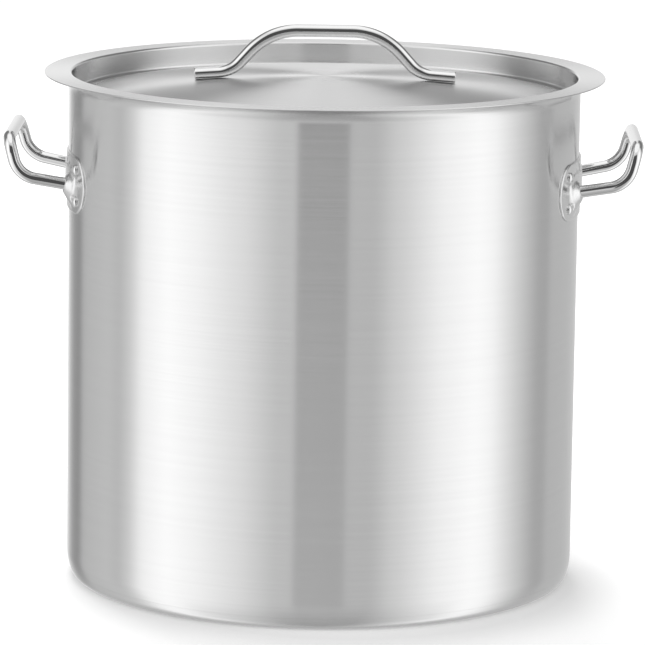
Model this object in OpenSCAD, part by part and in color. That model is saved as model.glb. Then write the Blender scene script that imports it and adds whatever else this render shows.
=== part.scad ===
// Lidded stock pot in stainless steel, 50 litre class.
// Millimetres, +Z up. The origin is the centre of the face that the pot stands on.
// The lift handles are on the X axis, and the lid is in its resting place.

/* [Pot] */
// Outer radius of the pot wall
pot_r = 200; // [190:1:206]
// Height of the lid's top rim above the floor
rim_z = 400; // [380:1:420]
// Thickness of the wall and the bottom
wall_t = 1; // [0.8:0.1:1.4]
// Outer radius of the corner between the wall and the bottom
corner_r = 10; // [8:0.5:12]
// How far the turned-out lip, on which the lid rests, stands out from the wall
lip_out = 12.5; // [11.5:0.5:15]
// Radius of the flare under the lip
lip_bend_r = 11; // [6:0.5:12]

/* [Sandwich base] */
// Height of the heat-spreading base below the bottom of the pot
base_h = 7; // [5:0.5:8]
// Thickness of the cap that covers the base
cap_t = 1; // [0.6:0.1:1.2]
// How far the cap's side stands in from the wall
cap_inset = 2; // [1.5:0.5:3]
// Outer radius of the rounded lower edge of the cap
cap_edge_r = 9; // [3:0.5:9]

/* [Lid] */
// Outer radius of the flat rim of the lid
lid_r = 219.2; // [215:0.1:222]
// Thickness of the lid
lid_t = 0.8; // [0.6:0.1:1.2]
// Gap between the sunken wall of the lid and the wall of the pot
lid_gap = 0.6; // [0.5:0.1:1.5]
// Radius of the rounded inner edge of the lid's rim
lid_edge_r = 2; // [1.5:0.1:3]
// Radius of the trough between the sunken wall and the dome
trough_r = 2.2; // [1.5:0.1:5]
// Radius of the sphere that the dome is part of
dome_r = 1200; // [1100:1:1250]
// Height of the middle of the dome above the lid's rim
dome_rise = -2.2; // [-4:0.1:2]
// Modelling gap between the lid's rim and the lip of the pot
seat_gap = 0.05; // [0.02:0.01:0.1]

/* [Lid handle] */
// Outer diameter of the tube
lid_tube_d = 10; // [9:0.5:11]
// Thickness of the tube's wall
lid_tube_t = 1; // [0.8:0.1:1.2]
// Height of the middle of the grip above the lid's rim
lid_grip_h = 32.8; // [31:0.1:40]
// Slope of the rising parts
lid_rise_angle = 48; // [44:1:52]
// Bend radius at the top, to the middle of the tube
lid_top_bend_r = 52; // [40:1:56]
// Bend radius above the feet, to the middle of the tube
lid_foot_bend_r = 24; // [18:1:28]
// Distance from the middle to the corner above a foot
lid_foot_x = 73.5; // [68:0.5:76]
// Distance from the middle to the cut end of a foot
lid_end_x = 102; // [98:0.5:106]
// Height of a pressed foot, as a share of the tube's diameter
foot_press = 0.85; // [0.8:0.01:0.95]

/* [Lift handles] */
// Diameter of the round bar
bar_d = 9.5; // [9:0.5:10]
// Height of the bar's ends at the wall
root_z = 315.7; // [300:0.1:330]
// Half the distance between the bar's ends at the wall
root_y = 51.5; // [48:0.5:54]
// Length of the arms from the wall to the knee, seen from above
arm_len = 43; // [38:0.5:46]
// Upward slope of the arms
arm_slope = 10.4; // [8:0.1:14]
// Angle by which the arms spread
arm_spread = 9.5; // [4:0.5:12]
// Outward lean of the uprights
lean = 14.8; // [10:0.1:20]
// Height of the middle of the grip
grip_z = 352.3; // [346:0.1:360]
// Half the distance between the corners of the grip
grip_y = 56; // [54:0.5:58]
// Bend radius at the knees
knee_r = 20; // [16:0.5:22]
// Bend radius at the corners of the grip
grip_bend_r = 13; // [11:0.5:15]

/* [Handle plates] */
// Height of the middle of the plate
plate_z = 317.1; // [301.5:0.1:331.5]
// Half the length of the plate, straight across
plate_half_l = 83.2; // [80:0.2:90]
// Half the height of the plate
plate_half_h = 22.3; // [21:0.1:24]
// Thickness of the plate
plate_t = 1.5; // [1.2:0.1:1.8]
// How far the raised field stands out from the plate
field_rise = 1.2; // [0.8:0.1:1.6]
// Half the height of the raised field
field_half_h = 13.5; // [12:0.5:14]
// Distance from the wall to the mouth of the boss round each arm, along the arm
boss_h = 7.4; // [7:0.1:8.5]
// Radius of the boss at the wall
boss_base_r = 15; // [14:0.5:16]
// Radius of the boss at its mouth
boss_mouth_r = 6.2; // [6:0.1:7]

/* [Rivets] */
// Diameter of the shank
shank_d = 4; // [3:0.5:5]
// Diameter of the head outside
head_d = 8; // [7:0.5:9]
// Height of the head outside
head_h = 2.8; // [2:0.1:3.2]
// Diameter of the flat head inside the pot
inner_head_d = 10; // [9:0.5:11]
// Height of the flat head inside the pot
inner_head_h = 1.2; // [1:0.1:1.5]
// Angle of the rivets from the middle of the handle
rivet_angle = 18.8; // [18.5:0.1:20]
// Half the distance between an upper and a lower rivet
rivet_half_h = 12.5; // [11.5:0.5:13.5]

/* [Hidden] */
$fn = 96;
wide_fn = 240; // for curves as large as the pot
far = 400; // longer than any cut needs
bottom_z = base_h; // underside of the pot
lip_z = rim_z - lid_t - seat_gap; // top of the lip
lip_top_r = lip_bend_r + wall_t;
lip_r = pot_r + lip_out;
cap_r = pot_r - cap_inset;
cap_corner = corner_r - cap_inset - cap_t; // from the corner's middle out to the cap's inner face
cap_z = bottom_z + corner_r - sqrt(corner_r * corner_r - cap_corner * cap_corner) - 0.15; // its upper edge
cap_bend_r = min(cap_edge_r, cap_z);
bar_r = bar_d / 2;
end_gap = 1.2; // the bar's square ends stop just short of the curved wall
bar_sides = 24;
bend_steps = 8;

// The lid's section: the trough is tangent to the sunken wall and to the dome
sunk_r = pot_r - wall_t - lid_gap; // outer face of the sunken wall
dome_z = rim_z + dome_rise - dome_r; // centre of the dome's sphere
trough_x = sunk_r - lid_t - trough_r;
trough_z = dome_z + sqrt(pow(dome_r + trough_r, 2) - pow(trough_x, 2));
trough_a = asin(trough_x / (dome_r + trough_r));
function dome_top(x) = dome_z + sqrt(dome_r * dome_r - x * x);

// Corners of the lid handle's path, from the middle to one foot
foot_axis_h = lid_tube_d / 2 * foot_press + 0.12; // clears the dome's bulge under the foot
lid_grip_z = rim_z + lid_grip_h;
lid_foot_z = dome_top(lid_foot_x) + foot_axis_h;
lid_rise_x = lid_foot_x - (lid_grip_z - lid_foot_z) / tan(lid_rise_angle);
lid_end = [lid_end_x, 0, dome_top(lid_end_x) + foot_axis_h];
lid_foot = [lid_foot_x, 0, lid_foot_z];
lid_rise = [lid_rise_x, 0, lid_grip_z];
function flip(p) = [-p.x, p.y, p.z];
lid_path = [lid_end, lid_foot, lid_rise, flip(lid_rise), flip(lid_foot), flip(lid_end)];
lid_bends = [lid_foot_bend_r, lid_top_bend_r, lid_top_bend_r, lid_foot_bend_r];

// Corners of the lift handle's path on the +X side; s is the side along Y
arm_dir = [cos(arm_spread), sin(arm_spread), tan(arm_slope)];
root_x = sqrt(pot_r * pot_r - root_y * root_y);
function root(s) = [root_x, s * root_y, root_z];
function knee(s) = root(s) + arm_len * [arm_dir.x, s * arm_dir.y, arm_dir.z];
function grip_corner(s) = [knee(s).x + (grip_z - knee(s).z) * tan(lean), s * grip_y, grip_z];
function bar_end(s) = root(s) + end_gap * [arm_dir.x, s * arm_dir.y, arm_dir.z];
bar_path = [bar_end(-1), knee(-1), grip_corner(-1), grip_corner(1), knee(1), bar_end(1)];
bar_bends = [knee_r, grip_bend_r, grip_bend_r, knee_r];

plate_r = pot_r + plate_t;
field_r = plate_r + field_rise;
seat_margin = 0.8; // by which a rivet's seat is wider than its head
weld_h = 2; // height of the weld inside a boss
weld_top = 0.6; // from the top of the hollow down to the weld
boss_taper = (boss_base_r - boss_mouth_r) / boss_h;
boss_shell = plate_t * sqrt(1 + boss_taper * boss_taper) / boss_taper; // plate_t, along the arm
boss_inner_h = (boss_base_r - bar_r) / boss_taper - boss_shell; // where the hollow closes on the bar
steel = [0.78, 0.78, 0.78];
polished = [0.88, 0.88, 0.88];
alloy = [0.70, 0.72, 0.74];

// ---- helpers ----

function unit(v) = v / norm(v);
function turn(a, b) = acos(unit(a) * unit(b));
// Length of the tangent from corner i of path p to its bend
function tangent(p, bends, i) =
    i == 0 || i == len(p) - 1 ? 0
    : bends[i - 1] * tan(turn(p[i] - p[i - 1], p[i + 1] - p[i]) / 2);

// Puts its children, made along +Z from the origin, at p, pointing along d
module aim(p, d) {
    translate(p) rotate([0, acos(unit(d).z), atan2(d.y, d.x)]) children();
}

// Points along path p with its corners rounded, each with its direction: [point, direction]
function stations(p, bends) = concat(
    [[p[0], unit(p[1] - p[0])]],
    [for (i = [1 : len(p) - 2]) each rounded(p[i], unit(p[i] - p[i - 1]), unit(p[i + 1] - p[i]),
        bends[i - 1])],
    [[p[len(p) - 1], unit(p[len(p) - 1] - p[len(p) - 2])]]);
function rounded(corner, u, v, r) =
    let (a = turn(u, v), n = unit(v - (u * v) * u), c = corner - u * r * tan(a / 2) + n * r)
    [for (k = [0 : bend_steps]) let (b = a * k / bend_steps)
        [c - n * r * cos(b) + u * r * sin(b), u * cos(b) + n * sin(b)]];

// A vector across the path at each station, carried along without twist
function carried(st, up, i = 0) = i == len(st) ? [] :
    let (w = unit(up - (up * st[i][1]) * st[i][1])) concat([w], carried(st, w, i + 1));

// One ring of bar_sides points; flat < 1 presses it along up and widens it
function ring(c, t, up, r, flat) = let (side = cross(t, up))
    [for (k = [0 : bar_sides - 1]) let (a = 360 * k / bar_sides)
        c + up * r * sin(a) * flat + side * r * cos(a) * (1.3 - 0.3 * flat)];

// Skin between ring i and the next of a sweep whose points start at base; back turns it inside out
function skin(base, i, back) = let (n = bar_sides)
    [for (k = [0 : n - 1]) let (a = base + i * n, b = (k + 1) % n)
        back ? [a + k, a + n + k, a + n + b, a + b] : [a + k, a + b, a + n + b, a + n + k]];

// A round bar along stations st, or a tube where bore > 0, with flats as the list of flattenings
module swept(st, flats, up, r, bore = 0) {
    n = bar_sides;
    m = len(st);
    ups = carried(st, up);
    outer = [for (i = [0 : m - 1]) each ring(st[i][0], st[i][1], ups[i], r, flats[i])];
    inner = bore == 0 ? []
        : [for (i = [0 : m - 1]) each ring(st[i][0], st[i][1], ups[i], bore, 1 - (1 - flats[i]) * r / bore)];
    sides = [for (i = [0 : m - 2]) each skin(0, i, false)];
    bore_sides = bore == 0 ? [] : [for (i = [0 : m - 2]) each skin(m * n, i, true)];
    last = (m - 1) * n;
    ends = bore == 0
        ? [[for (k = [n - 1 : -1 : 0]) k], [for (k = [0 : n - 1]) last + k]]
        : [for (k = [0 : n - 1]) let (b = (k + 1) % n)
            each [[b, k, m * n + k, m * n + b], [last + k, last + b, m * n + last + b, m * n + last + k]]];
    polyhedron(concat(outer, inner), concat(sides, bore_sides, ends), convexity = 6);
}

// A quarter of a ring in the section plane; sx and sz say which quarter
module quarter(x, z, r_in, r_out, sx, sz) {
    translate([x, z]) intersection() {
        difference() {
            circle(r_out);
            circle(r_in);
        }
        translate([sx > 0 ? 0 : -far, sz > 0 ? 0 : -far]) square(far);
    }
}

module box2(x0, z0, x1, z1) {
    translate([x0, z0]) square([x1 - x0, z1 - z0]);
}

// ---- pot ----

module pot_shell() color(steel) difference() {
    rotate_extrude($fn = wide_fn) {
        box2(0, bottom_z, pot_r - corner_r, bottom_z + wall_t);
        quarter(pot_r - corner_r, bottom_z + corner_r, corner_r - wall_t, corner_r, 1, -1);
        box2(pot_r - wall_t, bottom_z + corner_r, pot_r, lip_z - lip_top_r);
        quarter(pot_r + lip_bend_r, lip_z - lip_top_r, lip_bend_r, lip_top_r, -1, 1);
        box2(pot_r + lip_bend_r, lip_z - wall_t, lip_r, lip_z);
    }
    for (s = [0, 1]) mirror([s, 0, 0]) rivet_bores();
}

// The cap is a shallow dish that holds the disc against the bottom of the pot
module base_cap() color(steel) rotate_extrude($fn = wide_fn) {
    box2(0, 0, cap_r - cap_bend_r, cap_t);
    quarter(cap_r - cap_bend_r, cap_bend_r, cap_bend_r - cap_t, cap_bend_r, 1, -1);
    box2(cap_r - cap_t, cap_bend_r, cap_r, cap_z);
}

module base_core_disc() color(alloy) rotate_extrude($fn = wide_fn) intersection() {
    box2(0, cap_t, cap_r - cap_t, bottom_z);
    union() {
        box2(0, 0, cap_r - cap_bend_r, bottom_z);
        quarter(cap_r - cap_bend_r, cap_bend_r, 0, cap_bend_r - cap_t, 1, -1);
        box2(cap_r - cap_bend_r - 1, cap_bend_r, cap_r - cap_t, far);
    }
}

// ---- lift handles, made on the +X side ----

module pot_round(r) {
    cylinder(h = rim_z, r = r, $fn = wide_fn);
}

module bar() color(polished) {
    st = stations(bar_path, bar_bends);
    swept(st, [for (s = st) 1], [0, 0, 1], bar_r);
}

// A long round-ended block across the wall, h high and l long to each side
module round_ended(h, l) {
    rotate([90, 0, 90]) linear_extrude(far) {
        square([2 * (l - h), 2 * h], center = true);
        for (s = [-1, 1]) translate([s * (l - h), 0]) circle(h);
    }
}

// The part of a ring about the pot's axis that lies in a round-ended outline
module wrapped(r_in, r_out, h, l) {
    intersection() {
        difference() {
            pot_round(r_out);
            pot_round(r_in);
        }
        translate([0, 0, plate_z]) round_ended(h, l);
    }
}

module on_arm(s) {
    aim(root(s), [arm_dir.x, s * arm_dir.y, arm_dir.z]) children();
}

// A cone round an arm, from inside the wall out to the height h; back moves it towards the wall
module boss(s, h, back = 0) {
    sink = 5;
    r_at_sink = boss_base_r + (sink - back) * boss_taper;
    on_arm(s) translate([0, 0, -sink])
        cylinder(h = sink + h, r1 = r_at_sink, r2 = r_at_sink - (sink + h) * boss_taper);
}

// Pressed from one sheet: a rim, a raised field and a hollow boss round each arm
module plate() color(polished) {
    field_l = root_y + field_half_h;
    difference() {
        union() {
            wrapped(pot_r, plate_r, plate_half_h, plate_half_l);
            wrapped(pot_r, field_r, field_half_h, field_l);
            for (s = [-1, 1]) boss(s, boss_h);
        }
        wrapped(pot_r - 1, field_r - plate_t, field_half_h - plate_t, field_l - plate_t);
        for (s = [-1, 1]) {
            boss(s, boss_inner_h, boss_shell);
            on_arm(s) cylinder(h = 2 * boss_h, r = bar_r);
        }
        pot_round(pot_r);
        rivet_bores();
        rivet_seats();
    }
}

// A ring of weld inside each boss, where the bar meets the plate
module welds() color(steel) difference() {
    for (s = [-1, 1]) intersection() {
        boss(s, boss_inner_h, boss_shell);
        on_arm(s) translate([0, 0, boss_inner_h - weld_top - weld_h]) cylinder(h = weld_h, r = boss_base_r);
    }
    for (s = [-1, 1]) on_arm(s) cylinder(h = 2 * boss_h, r = bar_r);
}

module rivet_places() {
    for (a = [-rivet_angle, rivet_angle], z = [-rivet_half_h, rivet_half_h])
        rotate([0, 0, a]) translate([0, 0, plate_z + z]) rotate([0, 90, 0]) children();
}

module rivet_bores() {
    rivet_places() translate([0, 0, pot_r - 10]) cylinder(h = 20, d = shank_d);
}

// Round seats that keep the foot of each boss clear of the heads
module rivet_seats() difference() {
    rivet_places() translate([0, 0, pot_r]) cylinder(h = 20, d = head_d + seat_margin);
    pot_round(plate_r);
}

// Shank, domed head outside and flat head inside, each head shaped to its wall
module rivets() color(polished) {
    dome_ball_r = (pow(head_d / 2, 2) + pow(head_h * 0.6, 2)) / (2 * head_h * 0.6);
    difference() {
        rivet_places() translate([0, 0, plate_r - 1]) intersection() {
            cylinder(h = 1 + head_h, d = head_d);
            translate([0, 0, 1 + head_h - dome_ball_r]) sphere(dome_ball_r);
        }
        pot_round(plate_r);
    }
    rivet_places() translate([0, 0, pot_r - wall_t - 0.5]) cylinder(h = plate_t + wall_t + 1, d = shank_d);
    intersection() {
        rivet_places() translate([0, 0, pot_r - wall_t - inner_head_h]) cylinder(h = 3, d = inner_head_d);
        pot_round(pot_r - wall_t);
    }
}

module on_left() {
    mirror([1, 0, 0]) children();
}

// ---- lid ----

function arc(c, r, from, to, steps) =
    [for (k = [0 : steps]) let (a = from + (to - from) * k / steps) c + r * [cos(a), sin(a)]];

// One side of the lid's section from the rim in to the middle; deep is how far below the top side
function lid_side(deep) = concat(
    [[lid_r, rim_z - deep]],
    arc([sunk_r - lid_t + lid_edge_r, rim_z - lid_edge_r], lid_edge_r - deep, 90, 180, 8),
    arc([trough_x, trough_z], trough_r + deep, 0, -90 - trough_a, 12),
    arc([0, dome_z], dome_r - deep, 90 - trough_a, 90, 24));

module lid_shell() color(steel) rotate_extrude($fn = wide_fn) {
    top = lid_side(0);
    under = lid_side(lid_t);
    polygon(concat(top, [for (i = [len(under) - 1 : -1 : 0]) under[i]]));
}

// How far the tube is pressed flat at the distance x from the middle
function foot_flat(x) =
    let (reach = tangent(lid_path, lid_bends, 1), f = (abs(x) - lid_foot_x + reach) / (2 * reach))
    1 - (1 - foot_press) * max(0, min(1, f));

module lid_handle() color(polished) {
    st = stations(lid_path, lid_bends);
    swept(st, [for (s = st) foot_flat(s[0].x)], [0, 0, 1], lid_tube_d / 2, lid_tube_d / 2 - lid_tube_t);
}

pot_shell();
base_core_disc();
base_cap();
on_left() plate();  // left_handle_plate
on_left() bar();  // left_handle_bar
on_left() welds();  // left_handle_welds
on_left() rivets();  // left_handle_rivets
plate();  // right_handle_plate
bar();  // right_handle_bar
welds();  // right_handle_welds
rivets();  // right_handle_rivets
lid_shell();
lid_handle();
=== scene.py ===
"""Stock pot with its lid on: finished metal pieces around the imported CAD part.

Metres, +Z up, origin at the centre of the base. The lift handles are on the X axis.
"""

from math import acos, asin, atan2, cos, degrees, pi, radians, sin, sqrt, tan

import bmesh
import bpy
from mathutils import Matrix, Vector
from mathutils.geometry import delaunay_2d_cdt


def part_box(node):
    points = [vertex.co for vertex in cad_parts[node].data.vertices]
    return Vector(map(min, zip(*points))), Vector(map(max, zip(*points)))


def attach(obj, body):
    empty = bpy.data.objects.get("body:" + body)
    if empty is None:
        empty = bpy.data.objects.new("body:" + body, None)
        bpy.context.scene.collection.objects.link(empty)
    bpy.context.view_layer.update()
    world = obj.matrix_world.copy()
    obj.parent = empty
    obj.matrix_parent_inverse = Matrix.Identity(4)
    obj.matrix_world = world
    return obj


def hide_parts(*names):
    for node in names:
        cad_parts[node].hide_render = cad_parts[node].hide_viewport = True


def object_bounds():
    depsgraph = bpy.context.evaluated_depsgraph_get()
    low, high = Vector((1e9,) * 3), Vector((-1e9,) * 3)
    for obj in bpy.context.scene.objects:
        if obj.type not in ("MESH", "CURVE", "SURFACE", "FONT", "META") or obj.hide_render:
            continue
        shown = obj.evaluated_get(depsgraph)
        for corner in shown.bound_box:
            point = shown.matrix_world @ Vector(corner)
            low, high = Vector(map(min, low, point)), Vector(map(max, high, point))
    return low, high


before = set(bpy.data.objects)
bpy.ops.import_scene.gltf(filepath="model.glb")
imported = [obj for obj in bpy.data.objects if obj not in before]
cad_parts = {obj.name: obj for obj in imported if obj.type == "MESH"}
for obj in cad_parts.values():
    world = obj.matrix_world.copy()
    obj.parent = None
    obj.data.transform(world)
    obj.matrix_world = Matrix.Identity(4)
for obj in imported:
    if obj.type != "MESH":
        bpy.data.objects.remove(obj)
cad_low, cad_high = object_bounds()
MM = 0.001

# ---------------------------------------------------------------- sizes

shell_low, shell_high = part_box("pot_shell")
cap_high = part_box("base_cap")[1]
lid_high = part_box("lid_shell")[1]

WALL_R = 200 * MM
WALL_T = 1 * MM
CORNER_R = 10 * MM
LIP_BEND_R = 11 * MM
LIP_R = shell_high.x
LIP_Z = shell_high.z
POT_BOTTOM = shell_low.z

CAP_R = cap_high.x
CAP_T = 1 * MM
CAP_EDGE_R = 9 * MM
CAP_JOINT = 0.02 * MM  # between the cap's top edge and the shell
SWEEP_R = 42 * MM  # the wide curve of the foot

LID_R = lid_high.x
LID_T = 0.8 * MM
LID_GAP = 0.6 * MM
RIM_Z = 400 * MM
LID_EDGE_R = 2 * MM
TROUGH_R = 2.2 * MM
DOME_R = 1200 * MM
DOME_RISE = -2.2 * MM

LID_TUBE_R = 5 * MM
LID_BORE_R = 4 * MM
LID_GRIP_Z = RIM_Z + 32.8 * MM
LID_RISE_ANGLE = radians(48)
LID_TOP_BEND = 52 * MM
LID_FOOT_BEND = 24 * MM
LID_FOOT_X = 73.5 * MM
LID_END_X = 102 * MM
FOOT_PRESS = 0.85  # height of the pressed feet, as a share of the round tube's
FOOT_SPREAD = 0.3  # how much of the press goes into a foot's width
FOOT_SOLE = 0.97  # a foot's flat underside, as a share of its half height
FOOT_CLEAR = 0.12 * MM  # between the feet and the dome
TUBE_CUT_R = 0.25 * MM  # rounding of the tube's cut ends

BAR_R = 4.75 * MM
BAR_IN = 1.2 * MM  # how far along its arm a bar starts
ROOT_Z = 315.7 * MM
ROOT_Y = 51.5 * MM
ARM_LEN = 43 * MM
ARM_SLOPE = radians(10.4)
ARM_SPREAD = radians(9.5)
LEAN = radians(14.8)
GRIP_Z = 352.3 * MM
GRIP_Y = 56 * MM
KNEE_BEND = 20 * MM
GRIP_BEND = 13 * MM

PLATE_Z = 317.1 * MM
PLATE_HALF_L = 83.2 * MM
PLATE_HALF_H = 22.3 * MM
PLATE_T = 1.5 * MM
SHEET_R = WALL_R + PLATE_T
PLATE_ROLL = 1.1 * MM  # rounding of the outer edge
PLATE_LEAST = 0.02 * MM  # between the wall and the plate's back
FIELD_RISE = 1.2 * MM
FIELD_HALF_H = 13.5 * MM
FIELD_HALF_L = ROOT_Y + FIELD_HALF_H
FIELD_SOFT = 1.2 * MM  # half the width of the raised field's slope
BOSS_H = 7.4 * MM
BOSS_BASE_R = 15 * MM
BOSS_MOUTH_R = 6.2 * MM
BOSS_TAPER = (BOSS_BASE_R - BOSS_MOUTH_R) / BOSS_H
BOSS_MOUTH_SOFT = 0.9 * MM
BOSS_FOOT_SOFT = 1.6 * MM
BOSS_BOX = (26 * MM, 24 * MM)  # a boss reaches no further than this from its arm, along the plate and up
BORE_R = BAR_R + 0.12 * MM
BOSS_REACH = 18.2 * MM  # the net of a boss ends here
RIVET_CLEAR = 6 * MM  # the net of a rivet's seat ends here

# The net of points over a plate: along its edge, over the slope of its field, over the open field, and in rings
# round its rivets and arms
EDGE_PITCH = 1.1 * MM
EDGE_INSETS = [inset * MM for inset in (0.06, 0.2, 0.45, 0.75, 1.1, 1.8, 3.0)]
FIELD_PITCH = 1.4 * MM
FIELD_STEPS = [step * MM for step in (-1.4, -0.8, -0.3, 0.3, 0.8, 1.4)]
NET_PITCH = 2.2 * MM
NET_TO_EDGE = 4 * MM  # the open net ends this far from the plate's edge
SEAT_RINGS = [radius * MM for radius in (3.6, 4.1, 4.5, 4.9, 5.3, 5.7)]
BOSS_RINGS = [BORE_R, BAR_R + 0.4 * MM] + [5.6 * MM + 0.45 * MM * k for k in range(28)]
BOSS_TO_EDGE = 3.2 * MM  # and the bosses' rings this far

SHANK_R = 2 * MM
HEAD_R = 4 * MM
HEAD_H = 2.8 * MM
SEAT = (HEAD_R + 0.1 * MM, HEAD_R + 1.6 * MM)  # the plate is flat round a head, and rises again between these
INNER_HEAD_R = 5 * MM
INNER_HEAD_H = 1.2 * MM
HEAD_ROUND = 0.6  # the domed share of a head's height
HEAD_SUNK = 0.3 * MM  # how far an outer head reaches into the plate
INNER_HEAD_SUNK = 0.2 * MM  # and an inner one into the wall
RIVET_SIDES = 40
RIVET_ANGLE = radians(18.8)
RIVET_HALF_H = 12.5 * MM

# Shading is held flat by extra rings at these distances from an edge
HOLD_NEAR = 0.1 * MM
HOLD_FAR = 0.4 * MM
LONG_STRAIGHT = 3 * MM  # an outline's straights beyond this length get them too
ON_AXIS = 1e-7
BAR_SIDES = 48

# ---------------------------------------------------------------- camera

CAMERA_SIDE = radians(0.75)  # round the pot, from the front towards +X
CAMERA_AWAY = 3.660
CAMERA_HEIGHT = 0.867
CAMERA_AT = Vector((CAMERA_AWAY * sin(CAMERA_SIDE), -CAMERA_AWAY * cos(CAMERA_SIDE), CAMERA_HEIGHT))
CAMERA_DOWN = radians(10.3)
CAMERA_ROLL = radians(0.8)
CAMERA_LENS = 262.9
CAMERA_SHIFT = (0.0014, -0.0011)


def new_object(name, data):
    made = bpy.data.objects.new(name, data)
    bpy.context.scene.collection.objects.link(made)
    return made


def add_camera():
    data = bpy.data.cameras.new("camera")
    data.lens = CAMERA_LENS
    data.sensor_width = 36
    data.shift_x, data.shift_y = CAMERA_SHIFT
    data.clip_end = 100
    camera = new_object("camera", data)
    turn = Matrix.Rotation(CAMERA_SIDE, 4, "Z") @ Matrix.Rotation(pi / 2 - CAMERA_DOWN, 4, "X")
    turn = turn @ Matrix.Rotation(CAMERA_ROLL, 4, "Z")
    camera.matrix_world = Matrix.Translation(CAMERA_AT) @ turn
    bpy.context.scene.camera = camera


# ---------------------------------------------------------------- node helpers


class Nodes:
    """A short way to add nodes to a tree and to link them."""

    def __init__(self, tree):
        self.tree = tree

    def add(self, kind, inputs=(), **settings):
        node = self.tree.nodes.new(kind)
        for name, value in settings.items():
            setattr(node, name, value)
        for key, value in dict(inputs).items():
            self.put(node.inputs[key], value)
        return node

    def put(self, socket, value):
        if isinstance(value, bpy.types.NodeSocket):
            self.tree.links.new(value, socket)
        else:
            socket.default_value = value

    def math(self, operation, a, b=0.0, c=0.0):
        return self.add("ShaderNodeMath", {0: a, 1: b, 2: c}, operation=operation).outputs[0]

    def ramp(self, factor, stops):
        node = self.add("ShaderNodeValToRGB", {0: factor})
        elements = node.color_ramp.elements
        while len(elements) < len(stops):
            elements.new(0.5)
        for element, (place, value) in zip(elements, stops):
            element.position = place
            element.color = (value, value, value, 1) if isinstance(value, (int, float)) else (*value, 1)
        return node.outputs[0]

    def stretch(self, vector, x, y, z):
        return self.add("ShaderNodeMapping", {"Vector": vector, "Scale": (x, y, z)}).outputs[0]

    def noise(self, vector, scale, detail=2.0, roughness=0.5):
        node = self.add("ShaderNodeTexNoise", {"Vector": vector, "Scale": scale, "Detail": detail,
                                               "Roughness": roughness})
        return node.outputs[0]

    def between(self, factor, low, high):
        """factor from 0 to 1, spread from low to high."""
        return self.add("ShaderNodeMapRange", {"Value": factor, "To Min": low, "To Max": high}).outputs[0]

    def rise(self, value, start, stop):
        """0 up to start and 1 from stop on, with a soft slope between."""
        return self.add("ShaderNodeMapRange", {"Value": value, "From Min": start, "From Max": stop},
                        interpolation_type="SMOOTHSTEP").outputs[0]

    def mix(self, factor, a, b):
        return self.add("ShaderNodeMix", {"Factor": factor, "A": a, "B": b}, data_type="FLOAT").outputs[0]

    def product(self, first, *others):
        for other in others:
            first = self.math("MULTIPLY", first, other)
        return first

    def finish_with_glow(self, shader, strength):
        """Ends a material with a shader and a white glow added to it."""
        glow = self.add("ShaderNodeEmission", {"Color": (1, 1, 1, 1), "Strength": strength}).outputs[0]
        out = self.add("ShaderNodeAddShader", {0: shader, 1: glow}).outputs[0]
        self.add("ShaderNodeOutputMaterial", {"Surface": out})


def new_material(name):
    """An empty material and its node helper."""
    material = bpy.data.materials.new(name)
    material.use_nodes = True
    material.node_tree.nodes.clear()
    return material, Nodes(material.node_tree)


# ---------------------------------------------------------------- studio

# Turns are degrees round the pot from the camera's side, left being negative; heights are degrees above level.
# A pair of turns or heights says where a change starts and where it is complete.

# The tent round the pot: its brightness at each turn
STUDIO = [
    (-180, 0.90), (-168, 0.98), (-160, 0.60), (-151, 0.37), (-142, 0.33), (-136, 0.60), (-112, 0.70), (-103, 0.64),
    (-95, 0.85), (-88, 1.21), (-73, 1.37), (-57, 1.25), (-36, 0.98), (-20, 0.72), (-12, 0.70), (-10, 0.66),
    (-4, 0.68), (8, 0.66), (23, 0.63), (38, 0.89), (55, 1.20), (74, 1.35), (83, 1.27), (97, 0.90), (114, 0.52),
    (121, 0.49), (126, 0.60), (150, 0.60), (166, 0.65), (180, 0.90),
]
STUDIO_TOP = 1.4  # the brightness that the ramp's white stands for
HIGH_SIDES = 0.85
HIGH_HEIGHTS = (22, 66)
CEILING = 1.15
CEILING_HEIGHTS = (57, 63)

# How the floor shows below the tent, in front of the pot and beside it, and then straight below
LOW_DOWN = (0.72, 1.18)
LOW_TURNS = (58, 92)
LOW_HEIGHTS = (-16, -42)
NEAR_FLOOR = (0.38, 0.95)
NEAR_TURNS = (45, 90)
NEAR_HEIGHTS = (-55, -85)

# The shade behind the pot, under it and its handles
UNDER = 0.6
UNDER_TURNS = (95, 130)
UNDER_HEIGHTS = (-15, -35)

# Dark flags high on the left and the right and at the back, with a gap straight behind
FLAGS = 0.22
FLAG_TURNS = (96, 108)
FLAG_GAP_TURNS = (174, 168)
FLAG_FOOT_HEIGHTS = (8, 20)
FLAG_TOP_HEIGHTS = (58, 44)

# The gap in the tent where the camera stands, and what shows above it
FRONT_GAP = 0.08
HIGH_FRONT = 0.72
GAP_TURNS = (11.8, 10.8)
GAP_FOOT_HEIGHTS = (-5, -1)
GAP_TOP_HEIGHTS = (12, 40)

# What the mirror-bright pieces see of the dark room behind the camera
DARK_ROOM = 0.08
ROOM_LEFT = (-40, -31)
ROOM_RIGHT = (36, 28)
ROOM_UP = (50, 38)
ROOM_DOWN = (-30, -22)
ROOM_STEP = 26  # how much higher the dark room starts on the left
ROOM_STEP_TURNS = (-8, -17)

CARD_R = 20
CARD_STEPS = 12

FLOOR_R = 30
FLOOR_SIDES = 96
FLOOR_WHITE = 0.9

# The floor glows a little brighter than its own light makes it: painted light at each distance from a middle, weak
# close to the pot and stronger away from it, so that it paints the shape of the pot's shadow
PAINTED_FLOOR_GLOW = [(0.200, 0.12), (0.220, 0.08), (0.240, 0.13), (0.255, 0.18), (0.280, 0.25), (0.300, 0.27)]
GLOW_SPAN = 0.5  # the distance that the ramp spans
GLOW_MIDDLE = (0.024, 0, 0)
GLOW_STRETCH = 1.2

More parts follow.
